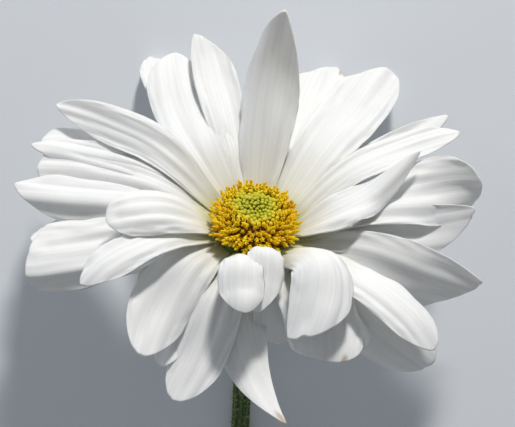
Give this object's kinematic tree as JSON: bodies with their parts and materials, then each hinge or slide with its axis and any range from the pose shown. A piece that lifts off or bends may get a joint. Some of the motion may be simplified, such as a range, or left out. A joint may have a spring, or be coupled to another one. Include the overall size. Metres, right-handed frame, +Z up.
{
  "type": "daisy flower",
  "caption": "Cut white daisy lying on its bent stem: overlapping ray petals round a domed golden disc with a green middle.",
  "frame": {"origin": "middle of the flower's outline seen from above, on the surface it lies on", "axes": "+Z up from the surface, +Y along the stem from its cut end toward the head, +X to the right of the head as seen from above"},
  "size_m": [0.0702, 0.1254, 0.0358],
  "materials": {
    "ray_petals": "soft white petal, finely grooved, slightly translucent",
    "disc_florets": "golden yellow florets with orange tips, matte",
    "disc_buds": "yellow-green closed buds, waxy",
    "involucre": "green bracts with pale dry margins",
    "stem": "green ribbed stem with short fine hairs"
  },
  "bodies": {
    "root": {"ray_petals": "ray_petals", "disc_florets": "disc_florets", "disc_buds": "disc_buds", "involucre": "involucre", "stem": "stem"}
  },
  "joints": []
}
